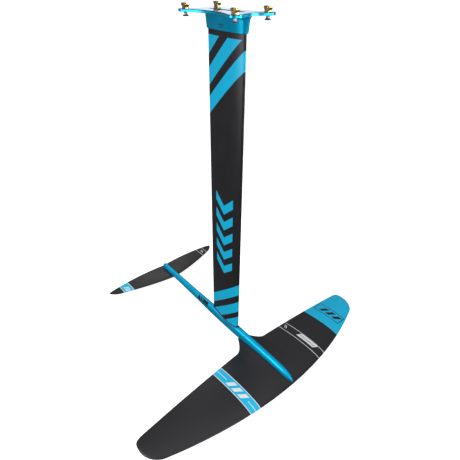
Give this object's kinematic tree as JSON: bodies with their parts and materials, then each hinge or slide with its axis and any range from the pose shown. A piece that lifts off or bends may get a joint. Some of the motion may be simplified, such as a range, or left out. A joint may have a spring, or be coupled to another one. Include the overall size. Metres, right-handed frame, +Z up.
{
  "type": "hydrofoil mast wing",
  "caption": "Hydrofoil for a water sports board: base plate with collar, foil-section mast, tapered fuselage, curved front wing and small rear stabiliser.",
  "frame": {"origin": "middle of the base plate's top face, which seats against the board", "axes": "+Z up towards the board, -Y forwards, +X to port"},
  "size_m": [0.8878, 0.7209, 0.9912],
  "materials": {
    "teal_anodised": "satin anodised alloy, teal",
    "mast_black": "satin black anodised alloy with printed teal bands",
    "wing_black": "satin black moulded composite with printed teal bands",
    "black_rubber": "matt",
    "bare_alloy": "machined",
    "stainless": "polished",
    "brass": "machined"
  },
  "bodies": {
    "foil": {"base_plate": "teal_anodised", "mast": "mast_black", "mast_head_insert": "bare_alloy", "mast_foot_insert": "bare_alloy", "mast_head_screws": "stainless", "mast_foot_screws": "stainless", "foot_gasket": "black_rubber", "fuselage": "teal_anodised", "front_wing": "wing_black", "front_wing_screws": "stainless", "front_wing_thread_inserts": "stainless", "stabiliser": "wing_black", "stabiliser_screws": "stainless", "stabiliser_thread_inserts": "stainless"},
    "nut_front_port": {"track_nut_front_port": "brass"},
    "screw_front_port": {"plate_screw_front_port": "stainless"},
    "nut_front_starboard": {"track_nut_front_starboard": "brass"},
    "screw_front_starboard": {"plate_screw_front_starboard": "stainless"},
    "nut_rear_port": {"track_nut_rear_port": "brass"},
    "screw_rear_port": {"plate_screw_rear_port": "stainless"},
    "nut_rear_starboard": {"track_nut_rear_starboard": "brass"},
    "screw_rear_starboard": {"plate_screw_rear_starboard": "stainless"}
  },
  "joints": [
    {"name": "nut_lift_front_port", "type": "slide", "parent": "foil", "child": "nut_front_port", "axis": [0, 0, 1], "range_m": [0, 0.01]},
    {"name": "screw_turn_front_port", "type": "hinge", "parent": "nut_front_port", "child": "screw_front_port", "pos_m": [0.045, -0.0825, 0], "axis": [0, 0, 1], "continuous": true},
    {"name": "nut_lift_front_starboard", "type": "slide", "parent": "foil", "child": "nut_front_starboard", "axis": [0, 0, 1], "range_m": [0, 0.01]},
    {"name": "screw_turn_front_starboard", "type": "hinge", "parent": "nut_front_starboard", "child": "screw_front_starboard", "pos_m": [-0.045, -0.0825, 0], "axis": [0, 0, 1], "continuous": true},
    {"name": "nut_lift_rear_port", "type": "slide", "parent": "foil", "child": "nut_rear_port", "axis": [0, 0, 1], "range_m": [0, 0.01]},
    {"name": "screw_turn_rear_port", "type": "hinge", "parent": "nut_rear_port", "child": "screw_rear_port", "pos_m": [0.045, 0.0825, 0], "axis": [0, 0, 1], "continuous": true},
    {"name": "nut_lift_rear_starboard", "type": "slide", "parent": "foil", "child": "nut_rear_starboard", "axis": [0, 0, 1], "range_m": [0, 0.01]},
    {"name": "screw_turn_rear_starboard", "type": "hinge", "parent": "nut_rear_starboard", "child": "screw_rear_starboard", "pos_m": [-0.045, 0.0825, 0], "axis": [0, 0, 1], "continuous": true}
  ]
}
